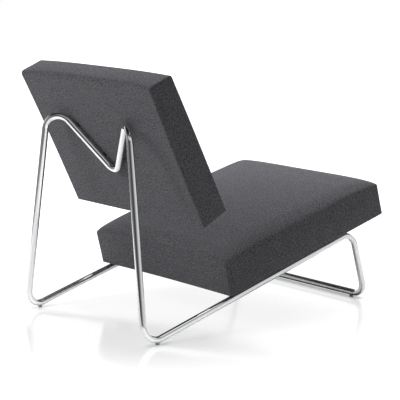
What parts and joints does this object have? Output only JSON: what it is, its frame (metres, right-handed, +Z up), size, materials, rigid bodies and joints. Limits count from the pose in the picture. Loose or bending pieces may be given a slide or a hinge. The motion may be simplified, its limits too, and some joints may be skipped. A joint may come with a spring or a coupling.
{
  "type": "cantilever lounge chair",
  "caption": "Low armless lounge chair with charcoal grey upholstered seat and back cushions on a bent chrome tube frame whose back rises in the shape of an M.",
  "frame": {"origin": "on the floor at mid-width, midway between the front edge of the seat and the rearmost point of the frame", "axes": "+Z up, +Y towards the rear of the chair, +X to the sitter's left; a sitter looks along -Y"},
  "size_m": [0.6164, 0.9334, 0.7495],
  "materials": {
    "chrome_tube": "mirror chrome plating on bent steel tube",
    "zinc_steel": "zinc plated hardware",
    "brass": "turned threaded inserts",
    "glide_nylon": "moulded natural white glides",
    "black_rubber": "black saddles and washers",
    "timber": "planed timber and plywood, hidden inside the cushions",
    "webbing": "woven upholstery webbing",
    "felt": "pressed felt pad",
    "foam": "polyurethane foam",
    "grey_wool": "charcoal grey melange woven upholstery cloth",
    "base_cloth": "black non-woven base cloth"
  },
  "bodies": {
    "root": {"rear_hoop": "chrome_tube", "front_hoop": "chrome_tube", "rail_spigots": "zinc_steel", "spigot_pins": "zinc_steel", "foot_glides": "glide_nylon", "glide_rivets": "zinc_steel", "seat_saddles": "black_rubber", "seat_bolts": "zinc_steel", "seat_washers": "zinc_steel", "seat_inserts": "brass", "seat_side_rails": "timber", "seat_front_rail": "timber", "seat_rear_rail": "timber", "seat_corner_blocks": "timber", "seat_rail_screws": "zinc_steel", "seat_long_webbing": "webbing", "seat_cross_webbing": "webbing", "seat_insulator": "felt", "seat_foam": "foam", "seat_cover": "grey_wool", "seat_dust_cover": "base_cloth", "hanging_studs": "zinc_steel", "stud_washers": "black_rubber", "keyhole_plates": "zinc_steel", "keyhole_screws": "zinc_steel", "back_board": "timber", "back_rear_padding": "foam", "back_foam": "foam", "back_cover": "grey_wool", "back_gusset_left": "grey_wool", "back_gusset_right": "grey_wool"}
  },
  "joints": []
}
